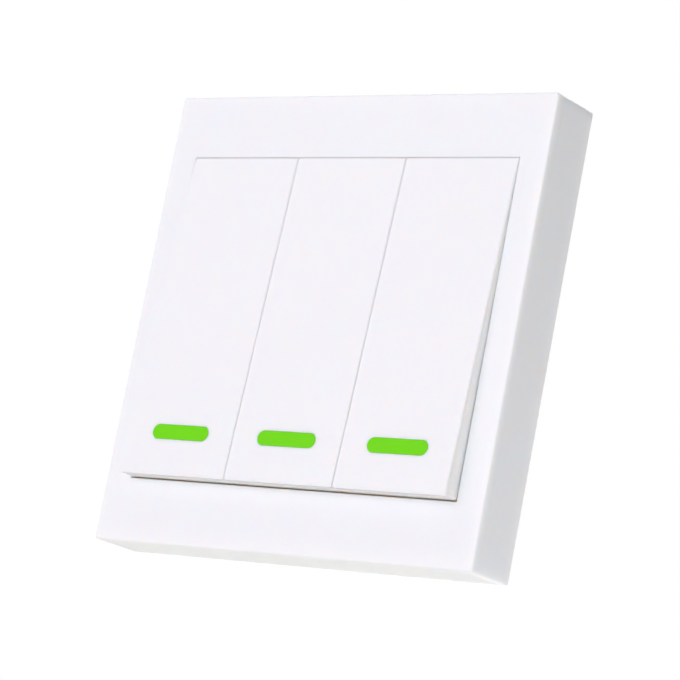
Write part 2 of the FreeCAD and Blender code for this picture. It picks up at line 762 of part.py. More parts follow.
def make_antenna_strip():
    """Folded metal strip that stands on the front of the board as a loop."""
    low = board_front + antenna_thickness / 2
    top = board_front + antenna_height
    path = [(antenna_left - antenna_foot, low), (antenna_left, low), (antenna_left, top),
            (antenna_right, top), (antenna_right, low), (antenna_right + antenna_foot, low)]
    return folded_strip(path, antenna_thickness, radio_z - antenna_strip_width / 2,
                        radio_z + antenna_strip_width / 2)


def small_parts(x, z, count, height):
    """Row of chip resistors or capacitors on the back of the board."""
    return Part.makeCompound([
        plate(x + i * small_part_pitch, z, small_part_width, small_part_length, board_back - height,
              board_back) for i in range(count)])


def make_screws(places, seat, bite):
    """Identical screws at several places."""
    return Part.makeCompound([screw(x, z, seat, bite) for x, z in places])


def build_pieces():
    """Every piece by its name."""
    pieces = {
        "front_frame": make_front_frame(),
        "carrier_plate": make_carrier_plate(),
        "rear_cover": make_rear_cover(),
        "circuit_board": make_circuit_board(),
        "switch_legs": make_switch_legs(),
        "battery_cell": make_battery_cell(),
        "battery_contact_positive": make_contact_positive(),
        "battery_contact_negative": make_contact_negative(),
        "encoder_chip": make_encoder_chip(),
        "rf_transistor": make_rf_transistor(),
        "saw_resonator": make_saw_resonator(),
        "antenna_strip": make_antenna_strip(),
        "chip_resistors": small_parts(resistor_x, resistor_z, resistor_count, resistor_height),
        "chip_capacitors": small_parts(capacitor_x, capacitor_z, capacitor_count, capacitor_height),
        "carrier_screws": make_screws(carrier_screw_places, carrier_back, carrier_screw_bite),
        "board_screws": make_screws(board_screw_places, board_back, board_thickness + board_screw_bite),
    }
    for name, centre in zip(rocker_names, rocker_centres):
        pieces["rocker_" + name] = make_rocker(centre)
        pieces["marker_" + name] = make_marker(centre)
        pieces["switch_base_" + name] = make_switch_base(centre)
        pieces["switch_cover_" + name] = make_switch_cover(centre)
        pieces["switch_plunger_" + name] = make_switch_plunger(centre)
    return pieces


os.makedirs("parts", exist_ok=True)
for node, shape in build_pieces().items():
    shape.exportStep("parts/" + node + ".step")
    print(node, len(shape.Solids), "solid", round(shape.Volume, 1), "mm3", "valid", shape.isValid())
print("press angle in degrees", round(math.degrees(press_angle), 3))
print("travel of the lower edge", round(edge_travel, 3))
print("panel depth", round(panel_depth, 3), "hinge depth", round(hinge_depth, 3), "height", round(hinge_z, 3))
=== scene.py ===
# %% [markdown]
# # A wireless wall switch with three rockers
# This notebook dresses a measured model of a square white wall switch. The model gives every piece its
# exact shape and place, so the work here is finishes, light and the small details on the parts inside. The
# first step loads that model.

# %% Load the measured model
import json
import math

import bmesh
import bpy
from mathutils import Matrix, Vector


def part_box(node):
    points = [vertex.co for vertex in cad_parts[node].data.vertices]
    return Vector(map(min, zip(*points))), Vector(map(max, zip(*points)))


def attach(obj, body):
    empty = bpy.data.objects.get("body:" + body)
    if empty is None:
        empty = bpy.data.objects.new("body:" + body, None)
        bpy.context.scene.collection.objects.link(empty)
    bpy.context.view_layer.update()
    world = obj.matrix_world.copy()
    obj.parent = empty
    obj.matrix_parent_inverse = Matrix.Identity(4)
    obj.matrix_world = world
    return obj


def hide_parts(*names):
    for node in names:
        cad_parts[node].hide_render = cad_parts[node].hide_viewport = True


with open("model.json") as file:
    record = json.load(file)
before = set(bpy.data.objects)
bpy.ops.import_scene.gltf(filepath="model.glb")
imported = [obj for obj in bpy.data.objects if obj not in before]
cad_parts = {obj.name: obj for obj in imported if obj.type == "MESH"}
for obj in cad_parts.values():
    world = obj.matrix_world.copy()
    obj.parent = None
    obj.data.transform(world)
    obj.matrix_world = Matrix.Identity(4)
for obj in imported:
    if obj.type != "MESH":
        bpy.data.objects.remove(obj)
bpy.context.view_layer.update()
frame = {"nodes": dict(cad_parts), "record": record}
MM = 0.001
print("pieces in the measured model:", len(frame["nodes"]))

# %% [markdown]
# ## The camera
# The photograph looks up at the panel from its lower right through a long lens, so parallel edges
# stay almost parallel. A camera can be aimed by rotation angles, but here its three axes are known
# from the panel's own straight edges, so they go straight into the camera's matrix.

# %% Place the camera
SENSOR_MM = 36.0
LENS_MM = 181.43
CAMERA_PLACE = Vector((0.382545, -0.482239, -0.119839))
CAMERA_RIGHT = Vector((0.78876, 0.58584, 0.18612))
CAMERA_UP = Vector((-0.03148, -0.2639, 0.96404))
CAMERA_BACK = Vector((0.61389, -0.76626, -0.18971))

camera_data = bpy.data.cameras.new("camera")
camera_data.sensor_width = SENSOR_MM
camera_data.lens = LENS_MM
camera_data.clip_start = 20.0 * MM
camera = bpy.data.objects.new("camera", camera_data)
bpy.context.scene.collection.objects.link(camera)
turn = Matrix((CAMERA_RIGHT, CAMERA_UP, CAMERA_BACK)).transposed()
camera.matrix_world = Matrix.Translation(CAMERA_PLACE) @ turn.to_4x4()
bpy.context.scene.camera = camera
print("camera distance in mm:", round(CAMERA_PLACE.length / MM))

# %% [markdown]
# ## Nodes by short helpers
# A material is a small graph of nodes. Each node is made in one line, with the values of its sockets
# in a dictionary, and each wire in another, so that the graph can be read from top to bottom.

# %% Helpers for node graphs
def add_node(tree, kind, values=None, **settings):
    """New node with its settings and the values of its unwired sockets."""
    node = tree.nodes.new(kind)
    for name, value in settings.items():
        setattr(node, name, value)
    for name, value in (values or {}).items():
        node.inputs[name].default_value = value
    return node


def wire(tree, source, output, target, socket):
    """Wire from an output of one node to an input of another."""
    tree.links.new(source.outputs[output], target.inputs[socket])


def rgba(red, green, blue):
    """Linear colour with full opacity."""
    return (red, green, blue, 1.0)


# %% [markdown]
# ## Colours that vary
# Real surfaces are never one flat value. A Mix node blends two colours or two numbers by a pattern.
# Its sockets share names, so this helper picks them by their place and takes a colour or a wire. A
# second helper does the same for the Math node, which does one sum at a time. A third one splits the
# place of a point on its piece into three numbers.

# %% Helpers for mixing, for sums and for places
def blend_colours(tree, factor, first, second):
    """Mix of two colours by the output of a pattern; each colour may be a value or a socket."""
    node = add_node(tree, "ShaderNodeMix", data_type="RGBA")
    tree.links.new(factor, node.inputs[0])
    for place, colour in ((6, first), (7, second)):
        if isinstance(colour, bpy.types.NodeSocket):
            tree.links.new(colour, node.inputs[place])
        else:
            node.inputs[place].default_value = colour
    return node.outputs[2]


def calculate(tree, operation, first, second=0.0, clamp=False):
    """Result of one sum; each of its terms may be a number or a socket."""
    node = add_node(tree, "ShaderNodeMath", operation=operation, use_clamp=clamp)
    for place, term in enumerate((first, second)):
        if isinstance(term, bpy.types.NodeSocket):
            tree.links.new(term, node.inputs[place])
        else:
            node.inputs[place].default_value = term
    return node.outputs[0]


def split_place(tree):
    """Node whose outputs X, Y and Z tell where a point lies on its piece."""
    places = add_node(tree, "ShaderNodeTexCoord")
    split = add_node(tree, "ShaderNodeSeparateXYZ")
    wire(tree, places, "Object", split, 0)
    return split


# %% [markdown]
# ## Daylight studio
# The photograph has a pure white background, while the panel itself is lit softly. The world does
# both: what the camera, mirrors and glass see of it is white, and what lights the surfaces is dimmer.
# The Light Path node tells these rays apart.

# %% Make the world
SEEN_STRENGTH = 1.0
SKY_STRENGTH = 0.2

world = bpy.data.worlds.new("studio")
world.use_nodes = True
tree = world.node_tree
tree.nodes.clear()
rays = add_node(tree, "ShaderNodeLightPath")
seen = calculate(tree, "MAXIMUM", rays.outputs["Is Camera Ray"], rays.outputs["Is Glossy Ray"])
seen = calculate(tree, "MAXIMUM", seen, rays.outputs["Is Transmission Ray"])
sky = add_node(tree, "ShaderNodeBackground", {"Color": rgba(1, 1, 1), "Strength": SKY_STRENGTH})
backdrop = add_node(tree, "ShaderNodeBackground", {"Color": rgba(1, 1, 1), "Strength": SEEN_STRENGTH})
choice = add_node(tree, "ShaderNodeMixShader")
world_output = add_node(tree, "ShaderNodeOutputWorld")
tree.links.new(seen, choice.inputs[0])
wire(tree, sky, 0, choice, 1)
wire(tree, backdrop, 0, choice, 2)
wire(tree, choice, 0, world_output, 0)
bpy.context.scene.world = world
bpy.context.scene.view_settings.view_transform = "Standard"

# %% [markdown]
# ## Lamps
# The front of the panel is bright and even. Its right side is a fifth darker and grows lighter towards
# the bottom, and its lower edge grows lighter towards the right. Two lamps before the wall, hardly
# higher than the panel, light the front from nearly straight ahead, so the rockers cast almost no
# shadow. One lamp beside the panel lights its right side. Two small ones behind the plane of the wall,
# low on the right and below, reach only the side and the lower edge, and being near they fade along
# them. The one above keeps the top from falling dark, and the one behind shows the back when the panel
# is turned. All are area lamps, because their soft shadows suit such a plain product picture.

# %% Make the lamps
def area_lamp(name, place, size, power, colour):
    """Square soft lamp that looks at the middle of the panel and is itself never in the picture."""
    data = bpy.data.lights.new(name, "AREA")
    data.shape = "SQUARE"
    data.size = size
    data.energy = power
    data.color = colour
    lamp = bpy.data.objects.new(name, data)
    bpy.context.scene.collection.objects.link(lamp)
    lamp.location = place
    lamp.rotation_euler = (-Vector(place)).to_track_quat("-Z", "Y").to_euler()
    lamp.visible_camera = False
    return lamp


area_lamp("key", (-0.50, -1.30, 0.12), 1.2, 6.65, (1.0, 0.89, 1.0))
area_lamp("front", (0.25, -1.40, 0.06), 0.8, 8.45, (0.985, 0.99, 1.0))
area_lamp("above", (-0.30, -0.30, 1.10), 0.9, 2.5, (1.0, 1.0, 1.0))
area_lamp("beside", (0.75, -0.06, -0.35), 0.5, 3.6, (1.0, 1.0, 0.98))
area_lamp("low_right", (0.20, 0.07, -0.15), 0.08, 0.095, (0.9, 0.9, 1.0))
area_lamp("below", (-0.14, 0.16, -0.27), 0.4, 0.72, (0.98, 1.0, 0.90))
area_lamp("behind", (-0.50, 1.30, 0.50), 1.2, 8.0, (1.0, 1.0, 1.0))

# %% [markdown]
# ## The floor
# Nothing carries the panel in the photograph, and the camera looks upwards, so a floor never shows
# there. It still belongs to the scene: it sends soft light up to the bottom edge, and in other views
# it catches the shadow.

# %% Lay the floor
FLOOR_HEIGHT = -0.30
FLOOR_SIZE = 8.0

floor_mesh = bpy.data.meshes.new("floor")
builder = bmesh.new()
bmesh.ops.create_grid(builder, x_segments=1, y_segments=1, size=FLOOR_SIZE / 2,
                      matrix=Matrix.Translation((0, 0, FLOOR_HEIGHT)))
builder.to_mesh(floor_mesh)
builder.free()
floor = bpy.data.objects.new("floor", floor_mesh)
bpy.context.scene.collection.objects.link(floor)

floor_paint = bpy.data.materials.new("floor_paint")
floor_paint.use_nodes = True
tree = floor_paint.node_tree
tree.nodes.clear()
places = add_node(tree, "ShaderNodeTexCoord")
clouds = add_node(tree, "ShaderNodeTexNoise", {"Scale": 3.0, "Detail": 3.0})
tint = blend_colours(tree, clouds.outputs["Fac"], rgba(0.81, 0.805, 0.785), rgba(0.84, 0.835, 0.815))
paint = add_node(tree, "ShaderNodeBsdfPrincipled", {"Roughness": 0.7})
surface = add_node(tree, "ShaderNodeOutputMaterial")
wire(tree, places, "Object", clouds, "Vector")
tree.links.new(tint, paint.inputs["Base Color"])
wire(tree, paint, "BSDF", surface, "Surface")
floor.data.materials.append(floor_paint)
print("floor at height", FLOOR_HEIGHT)

# %% [markdown]
# ## Effects that several finishes share
# Moulded plastic has a skin: very fine grain, faint slow waves where the melt cooled, and a shine that
# changes a little from place to place. The same skin suits the gloss front and the matt parts inside
# with other numbers, so it is built once as a node group with named inputs and outputs.

# %% Helper for node groups
def new_group(name, inputs, outputs):
    """Empty node group with its named sockets, and the nodes that stand for them inside."""
    group = bpy.data.node_groups.new(name, "ShaderNodeTree")
    for title, kind, value in inputs:
        socket = group.interface.new_socket(title, in_out="INPUT", socket_type="NodeSocket" + kind)
        socket.default_value = value
    for title, kind in outputs:
        group.interface.new_socket(title, in_out="OUTPUT", socket_type="NodeSocket" + kind)
    return group, group.nodes.new("NodeGroupInput"), group.nodes.new("NodeGroupOutput")


# %% Group for the skin of moulded plastic
skin_group, given, result = new_group(
    "moulded_skin",
    [("Colour", "Color", rgba(0.8, 0.8, 0.8)), ("Cloud Colour", "Color", rgba(0.78, 0.78, 0.78)),
     ("Grain Scale", "Float", 5000.0), ("Grain Share", "Float", 0.3), ("Wave Scale", "Float", 220.0),
     ("Shine Low", "Float", 0.3), ("Shine High", "Float", 0.36)],
    [("Colour", "Color"), ("Roughness", "Float"), ("Height", "Float")])
places = add_node(skin_group, "ShaderNodeTexCoord")
grain = add_node(skin_group, "ShaderNodeTexNoise", {"Detail": 2.0, "Roughness": 0.6})
waves = add_node(skin_group, "ShaderNodeTexNoise", {"Detail": 1.0})
clouds = add_node(skin_group, "ShaderNodeTexNoise", {"Scale": 28.0, "Detail": 3.0})
height = add_node(skin_group, "ShaderNodeMix", data_type="FLOAT")
shine = add_node(skin_group, "ShaderNodeMapRange", {"From Min": 0.3, "From Max": 0.7})
for texture in (grain, waves, clouds):
    wire(skin_group, places, "Object", texture, "Vector")
wire(skin_group, given, "Grain Scale", grain, "Scale")
wire(skin_group, given, "Wave Scale", waves, "Scale")
wire(skin_group, given, "Grain Share", height, 0)
wire(skin_group, waves, "Fac", height, 2)
wire(skin_group, grain, "Fac", height, 3)
wire(skin_group, clouds, "Fac", shine, "Value")
wire(skin_group, given, "Shine Low", shine, "To Min")
wire(skin_group, given, "Shine High", shine, "To Max")
colour = blend_colours(skin_group, clouds.outputs["Fac"], given.outputs["Colour"],
                       given.outputs["Cloud Colour"])
skin_group.links.new(colour, result.inputs["Colour"])
wire(skin_group, shine, "Result", result, "Roughness")
wire(skin_group, height, 0, result, "Height")

# %% [markdown]
# Sheet metal and screws are drawn or rolled in one direction, which leaves fine parallel lines. Noise
# that is squeezed along one axis gives such lines. The group takes the squeeze as a vector, so each
# metal part can have its lines along its own length.

# %% Group for drawn metal
metal_group, given, result = new_group(
    "drawn_metal",
    [("Bright", "Color", rgba(0.7, 0.7, 0.7)), ("Dull", "Color", rgba(0.5, 0.5, 0.5)),
     ("Squeeze", "Vector", (1.0, 1.0, 1.0)), ("Shine Low", "Float", 0.22), ("Shine High", "Float", 0.42)],
    [("Colour", "Color"), ("Roughness", "Float"), ("Height", "Float")])
places = add_node(metal_group, "ShaderNodeTexCoord")
squeezed = add_node(metal_group, "ShaderNodeVectorMath", operation="MULTIPLY")
lines = add_node(metal_group, "ShaderNodeTexNoise", {"Scale": 2500.0, "Detail": 3.0})
stains = add_node(metal_group, "ShaderNodeTexNoise", {"Scale": 420.0, "Detail": 4.0, "Roughness": 0.6})
shine = add_node(metal_group, "ShaderNodeMapRange", {"From Min": 0.3, "From Max": 0.7})
wire(metal_group, places, "Object", squeezed, 0)
wire(metal_group, given, "Squeeze", squeezed, 1)
wire(metal_group, squeezed, 0, lines, "Vector")
wire(metal_group, places, "Object", stains, "Vector")
wire(metal_group, stains, "Fac", shine, "Value")
wire(metal_group, given, "Shine Low", shine, "To Min")
wire(metal_group, given, "Shine High", shine, "To Max")
colour = blend_colours(metal_group, stains.outputs["Fac"], given.outputs["Bright"], given.outputs["Dull"])
metal_group.links.new(colour, result.inputs["Colour"])
wire(metal_group, shine, "Result", result, "Roughness")
wire(metal_group, lines, "Fac", result, "Height")

# %% [markdown]
# Parts come out of a mould pushed by round pins, and each pin leaves a faint ring inside. Rings at an
# even pitch are cheap to draw: the place is wrapped into cells, and the distance to the cell's middle
# is compared with the ring's radius. The texture stays on inner faces, where such marks are allowed.

# %% Group for the rings that ejector pins leave
ring_group, given, result = new_group(
    "ejector_rings",
    [("Pitch", "Float", 21.0 * MM), ("Radius", "Float", 2.2 * MM), ("Line Width", "Float", 0.22 * MM)],
    [("Mask", "Float")])
split = split_place(ring_group)
flat = add_node(ring_group, "ShaderNodeCombineXYZ")
distance = add_node(ring_group, "ShaderNodeVectorMath", operation="LENGTH")
near = add_node(ring_group, "ShaderNodeMath", operation="COMPARE")
for axis in ("X", "Z"):
    wrapped = calculate(ring_group, "PINGPONG", split.outputs[axis], given.outputs["Pitch"])
    ring_group.links.new(wrapped, flat.inputs[axis])
wire(ring_group, flat, 0, distance, 0)
wire(ring_group, distance, "Value", near, 0)
wire(ring_group, given, "Radius", near, 1)
wire(ring_group, given, "Line Width", near, 2)
wire(ring_group, near, 0, result, "Mask")

# %% [markdown]
# White plastic never shades like sharp-edged card. Its walls bow in a little towards each edge, and
# light that enters at the bright front leaves again just behind it. Both make the sides lighter next
# to an edge. The group turns the distance from the front and from the corners into a height that
# falls away ever faster towards the edge, which tilts the shading there. The flat front keeps its tone.
# The second output is a mask of the walls behind the front, up to a given distance from the middle; the
# finishes paint a lighter white there, painted light that lifts the shade on those walls.

# %% Group for soft edges
EDGE_BEND = 3.0

edge_group, given, result = new_group(
    "soft_edges",
    [("Front Place", "Float", 0.0), ("Front Lean", "Float", 0.0), ("Front Reach", "Float", 3.0 * MM),
     ("Front Tilt", "Float", 0.5), ("Rim Reach", "Float", 0.7 * MM), ("Rim Tilt", "Float", 0.0),
     ("Half Width", "Float", 1.0), ("Half Height", "Float", 1.0), ("Corner Reach", "Float", 2.0 * MM),
     ("Corner Tilt", "Float", 0.3), ("Inner Half Width", "Float", 1.0),
     ("Inner Half Height", "Float", 1.0)],
    [("Height", "Float"), ("Inner Mask", "Float")])


def falling_edge(distance, reach, tilt):
    """Height below the plain wall, at a distance from an edge."""
    along = calculate(edge_group, "DIVIDE", distance, reach)
    near = calculate(edge_group, "SUBTRACT", 1.0, along, clamp=True)
    bent = calculate(edge_group, "POWER", near, EDGE_BEND)
    deepest = calculate(edge_group, "MULTIPLY", reach, tilt)
    return calculate(edge_group, "MULTIPLY", bent, deepest)


split = split_place(edge_group)
lean = calculate(edge_group, "MULTIPLY", split.outputs["Z"], given.outputs["Front Lean"])
front = calculate(edge_group, "ADD", given.outputs["Front Place"], lean)
depth = calculate(edge_group, "SUBTRACT", split.outputs["Y"], front)
fall = falling_edge(depth, given.outputs["Front Reach"], given.outputs["Front Tilt"])
rim = falling_edge(depth, given.outputs["Rim Reach"], given.outputs["Rim Tilt"])
fall = calculate(edge_group, "ADD", fall, rim)
behind = calculate(edge_group, "DIVIDE", depth, given.outputs["Corner Reach"], clamp=True)
for axis, half in (("X", "Half Width"), ("Z", "Half Height")):
    away = calculate(edge_group, "ABSOLUTE", split.outputs[axis])
    distance = calculate(edge_group, "SUBTRACT", given.outputs[half], away)
    corner = falling_edge(distance, given.outputs["Corner Reach"], given.outputs["Corner Tilt"])
    corner = calculate(edge_group, "MULTIPLY", corner, behind)
    fall = calculate(edge_group, "ADD", fall, corner)
height = calculate(edge_group, "DIVIDE", fall, -EDGE_BEND)
edge_group.links.new(height, result.inputs["Height"])
# Painted light: mask of the walls behind the front, where a lighter white lifts their shade.
inner = calculate(edge_group, "DIVIDE", depth, given.outputs["Rim Reach"], clamp=True)
for axis, limit in (("X", "Inner Half Width"), ("Z", "Inner Half Height")):
    away = calculate(edge_group, "ABSOLUTE", split.outputs[axis])
    within = calculate(edge_group, "LESS_THAN", away, given.outputs[limit])
    inner = calculate(edge_group, "MULTIPLY", inner, within)
edge_group.links.new(inner, result.inputs["Inner Mask"])

# %% [markdown]
# ## A finish from a group
# Most finishes are the same few nodes: a group for colour, shine and height, a Bump node that turns
# height into slopes, and the Principled shader. One helper makes them, and returns the nodes that a
# special finish needs to add to. Values that don't vary go straight onto the shader's own sockets.

# %% Helper for finishes
finishes = {}


def new_finish(name, group, values, bump_strength, bump_distance, shader_values=None):
    """Material whose colour, roughness and bump come from a group."""
    material = bpy.data.materials.new(name)
    material.use_nodes = True
    tree = material.node_tree
    tree.nodes.clear()
    pattern = add_node(tree, "ShaderNodeGroup", node_tree=group)
    for title, value in values.items():
        pattern.inputs[title].default_value = value
    bump = add_node(tree, "ShaderNodeBump", {"Strength": bump_strength, "Distance": bump_distance})
    shader = add_node(tree, "ShaderNodeBsdfPrincipled", shader_values)
    surface = add_node(tree, "ShaderNodeOutputMaterial")
    wire(tree, pattern, "Colour", shader, "Base Color")
    wire(tree, pattern, "Roughness", shader, "Roughness")
    wire(tree, pattern, "Height", bump, "Height")
    wire(tree, bump, "Normal", shader, "Normal")
    wire(tree, shader, "BSDF", surface, "Surface")
    finishes[name] = material
    return tree, pattern, bump, shader


# %% [markdown]
# ## White front
# The frame and the rockers are white plastic with a fine satin gloss and a trace of blue, which keeps
# it from looking yellow. The grain is far below what the photograph resolves, so its bump is very low.
# Light travels a little way inside such plastic. It leaves the bright front and fades out on the
# sides, and red light goes farthest, so the fading is faintly warm: that is subsurface scattering.
# The photograph hardly shows the gaps around the rockers, so the walls there get a lighter white: painted
# light that lifts the shade in the gaps, and on the rockers' sides too.

# %% Helper for the white finishes
FRONT_WHITE = rgba(0.866, 0.876, 0.900)
FRONT_CLOUD = rgba(0.860, 0.870, 0.894)
# Painted light: a lighter white for the walls behind the front, which lifts their shade.
WALL_PAINTED_LIGHT = rgba(0.955, 0.960, 0.965)
GLOW_COLOURS = (1.0, 0.8, 0.7)


def white_finish(name, edges, glow_depth):
    """White plastic with soft edges and painted light on the walls behind its front; gives its graph, its
    shader and the wire that colours it.
    """
    tree, pattern, bump, shader = new_finish(
        name, skin_group,
        {"Colour": FRONT_WHITE, "Cloud Colour": FRONT_CLOUD, "Grain Scale": 6500.0, "Grain Share": 0.35,
         "Wave Scale": 240.0, "Shine Low": 0.34, "Shine High": 0.40},
        bump_strength=0.25, bump_distance=0.012 * MM,
        shader_values={"Specular IOR Level": 0.4, "Subsurface Weight": 1.0,
                       "Subsurface Radius": GLOW_COLOURS, "Subsurface Scale": glow_depth})
    soft = add_node(tree, "ShaderNodeGroup", node_tree=edge_group)
    for title, value in edges.items():
        soft.inputs[title].default_value = value
    edge_bump = add_node(tree, "ShaderNodeBump", {"Strength": 1.0, "Distance": 1.0})
    wire(tree, soft, "Height", edge_bump, "Height")
    wire(tree, edge_bump, "Normal", bump, "Normal")
    # Painted light: the walls behind the front take the lighter white.
    walls = blend_colours(tree, soft.outputs["Inner Mask"], pattern.outputs["Colour"], WALL_PAINTED_LIGHT)
    tree.links.new(walls, shader.inputs["Base Color"])
    return tree, shader, walls


# %% [markdown]
# The frame's soft edges run along its front and its four corners, and the walls with the painted lighter
# white are those within a millimetre of the rockers. All these places are read from the model, so they
# follow its sizes.

# %% Make the frame's white
FRAME_LOW, FRAME_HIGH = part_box("front_frame")
WINDOW_LOW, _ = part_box("rocker_left")
FRAME_GLOW = 1.6 * MM
SOFT_REACH = 3.2 * MM
SOFT_TILT = 0.8

white_finish(
    "white_gloss",
    {"Front Place": FRAME_LOW.y, "Front Reach": SOFT_REACH, "Front Tilt": SOFT_TILT,
     "Half Width": FRAME_HIGH.x, "Half Height": FRAME_HIGH.z, "Corner Reach": 2.6 * MM, "Corner Tilt": 0.45,
     "Inner Half Width": -WINDOW_LOW.x + MM, "Inner Half Height": -WINDOW_LOW.z + MM},
    FRAME_GLOW)

# %% [markdown]
# The rockers have their own version, because their front leans and their walls are thinner. Only the line
# under their feet is dark in the photograph, and brownish, so a brownish shade is painted on the feet where
# they dip behind the frame's front.

# %% Make the rockers' white
ROCKER_LOW, ROCKER_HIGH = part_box("rocker_middle")
ROCKER_LEAN = (FRAME_LOW.y - ROCKER_LOW.y) / (ROCKER_HIGH.z - ROCKER_LOW.z)
ROCKER_FRONT = FRAME_LOW.y - ROCKER_LEAN * ROCKER_HIGH.z
ROCKER_GLOW = 0.8 * MM
# The brownish colour below is painted shade, for the dark line under the feet.
PAINTED_FOOT_SHADE = rgba(0.90, 0.73, 0.52)
FOOT_HEIGHT = 0.6 * MM
FOOT_SHADE_START = FRAME_LOW.y - 0.2 * MM
FOOT_SHADE_REACH = 0.4 * MM

tree, shader, walls = white_finish(
    "rocker_gloss",
    {"Front Place": ROCKER_FRONT, "Front Lean": ROCKER_LEAN, "Front Reach": SOFT_REACH,
     "Front Tilt": SOFT_TILT, "Rim Tilt": 1.5, "Corner Tilt": 0.0},
    ROCKER_GLOW)
# Painted shade: the feet turn brown where they dip behind the frame's front.
split = split_place(tree)
sunk = calculate(tree, "SUBTRACT", split.outputs["Y"], FOOT_SHADE_START)
sunk = calculate(tree, "DIVIDE", sunk, FOOT_SHADE_REACH, clamp=True)
foot = calculate(tree, "LESS_THAN", split.outputs["Z"], ROCKER_LOW.z + FOOT_HEIGHT)
foot = calculate(tree, "MULTIPLY", foot, sunk)
foot_shaded = blend_colours(tree, foot, walls, PAINTED_FOOT_SHADE)
tree.links.new(foot_shaded, shader.inputs["Base Color"])

# %% [markdown]
# The parts behind the front are matt, with a coarser grain and the rings of the ejector pins.

# %% Make the matt white
tree, _, bump, shader = new_finish(
    "white_matte", skin_group,
    {"Colour": rgba(0.83, 0.82, 0.81), "Cloud Colour": rgba(0.80, 0.79, 0.78), "Grain Scale": 3600.0,
     "Grain Share": 0.85, "Wave Scale": 300.0, "Shine Low": 0.48, "Shine High": 0.58},
    bump_strength=0.5, bump_distance=0.03 * MM, shader_values={"IOR": 1.49})
rings = add_node(tree, "ShaderNodeGroup", node_tree=ring_group)
ring_bump = add_node(tree, "ShaderNodeBump", {"Strength": 0.6, "Distance": 0.05 * MM})
wire(tree, rings, "Mask", ring_bump, "Height")
wire(tree, bump, "Normal", ring_bump, "Normal")
wire(tree, ring_bump, "Normal", shader, "Normal")

# %% [markdown]
# ## Green markers and the other plastics
# The markers are smooth bright green plastic that hardly mirrors the white room, so their green stays
# deep. The switches and the chips use the same skin in black, the chips with coarser grain, because
# their moulding compound is full of ground quartz.

# %% Make the coloured plastics
MARKER_MIRROR = 0.12
PLASTIC_MIRROR = 0.5
PLASTICS = {
    "green_insert": (rgba(0.166, 0.70, 0.003), rgba(0.160, 0.68, 0.003), 5200.0, 0.3, 0.30, 0.36, 0.25),
    "black_plastic": (rgba(0.018, 0.018, 0.020), rgba(0.026, 0.026, 0.028), 4200.0, 0.6, 0.38, 0.50, 0.4),
    "black_epoxy": (rgba(0.024, 0.024, 0.025), rgba(0.040, 0.040, 0.041), 9000.0, 0.9, 0.50, 0.66, 0.6),
    "resistor_body": (rgba(0.022, 0.022, 0.024), rgba(0.034, 0.033, 0.034), 7000.0, 0.5, 0.24, 0.34, 0.3),
    "capacitor_body": (rgba(0.40, 0.27, 0.15), rgba(0.46, 0.33, 0.19), 8000.0, 0.8, 0.45, 0.60, 0.4),
}
for name, (tone, cloud, grain_scale, grain_share, low, high, strength) in PLASTICS.items():
    mirror = MARKER_MIRROR if name == "green_insert" else PLASTIC_MIRROR
    new_finish(name, skin_group,
               {"Colour": tone, "Cloud Colour": cloud, "Grain Scale": grain_scale,
                "Grain Share": grain_share, "Shine Low": low, "Shine High": high},
               bump_strength=strength, bump_distance=0.01 * MM,
               shader_values={"Specular IOR Level": mirror})

# %% [markdown]
# ## Metals
# Tinned legs, the nickel can, the bronze contacts, the copper strip and the screws differ in tint, in
# shine and in the direction of their lines. All are fully metallic.

# %% Make the metals
METALS = {
    "tinned_steel": (rgba(0.72, 0.72, 0.70), rgba(0.56, 0.56, 0.55), (1.0, 1.0, 0.12), 0.24, 0.42),
    "can_steel": (rgba(0.78, 0.75, 0.70), rgba(0.66, 0.64, 0.60), (1.0, 1.0, 1.0), 0.12, 0.24),
    "spring_bronze": (rgba(0.74, 0.64, 0.44), rgba(0.62, 0.52, 0.36), (1.0, 1.0, 0.10), 0.20, 0.36),
    "copper_strip": (rgba(0.86, 0.50, 0.34), rgba(0.66, 0.34, 0.22), (0.10, 1.0, 1.0), 0.22, 0.40),
    "screw_steel": (rgba(0.62, 0.62, 0.64), rgba(0.46, 0.46, 0.49), (1.0, 0.2, 1.0), 0.26, 0.44),
}
for name, (bright, dull, squeeze, low, high) in METALS.items():
    new_finish(name, metal_group,
               {"Bright": bright, "Dull": dull, "Squeeze": squeeze, "Shine Low": low, "Shine High": high},
               bump_strength=0.35, bump_distance=0.012 * MM, shader_values={"Metallic": 1.0})

# %% [markdown]
# ## The circuit board
# A board is woven glass cloth in resin under a green film. The weave shows faintly through the film
# as small squares. Two sets of bands at right angles make it, and it changes both height and colour.

# %% Make the board's finish
WEAVE_SCALE = 170.0

tree, pattern, bump, shader = new_finish(
    "board_green", skin_group,
    {"Colour": rgba(0.012, 0.15, 0.045), "Cloud Colour": rgba(0.016, 0.18, 0.060), "Grain Scale": 2600.0,
     "Grain Share": 0.2, "Shine Low": 0.20, "Shine High": 0.30},
    bump_strength=0.3, bump_distance=0.01 * MM)
places = add_node(tree, "ShaderNodeTexCoord")
bands = []
for direction in ("X", "Z"):
    band = add_node(tree, "ShaderNodeTexWave", {"Scale": WEAVE_SCALE, "Distortion": 1.2, "Detail": 1.0},
                    bands_direction=direction)
    wire(tree, places, "Object", band, "Vector")
    bands.append(band.outputs["Fac"])
weave = calculate(tree, "MULTIPLY", *bands)
woven = blend_colours(tree, weave, pattern.outputs["Colour"], rgba(0.022, 0.22, 0.085))
tree.links.new(woven, shader.inputs["Base Color"])
weave_bump = add_node(tree, "ShaderNodeBump", {"Strength": 0.3, "Distance": 0.02 * MM})
tree.links.new(weave, weave_bump.inputs["Height"])
wire(tree, bump, "Normal", weave_bump, "Normal")
wire(tree, weave_bump, "Normal", shader, "Normal")

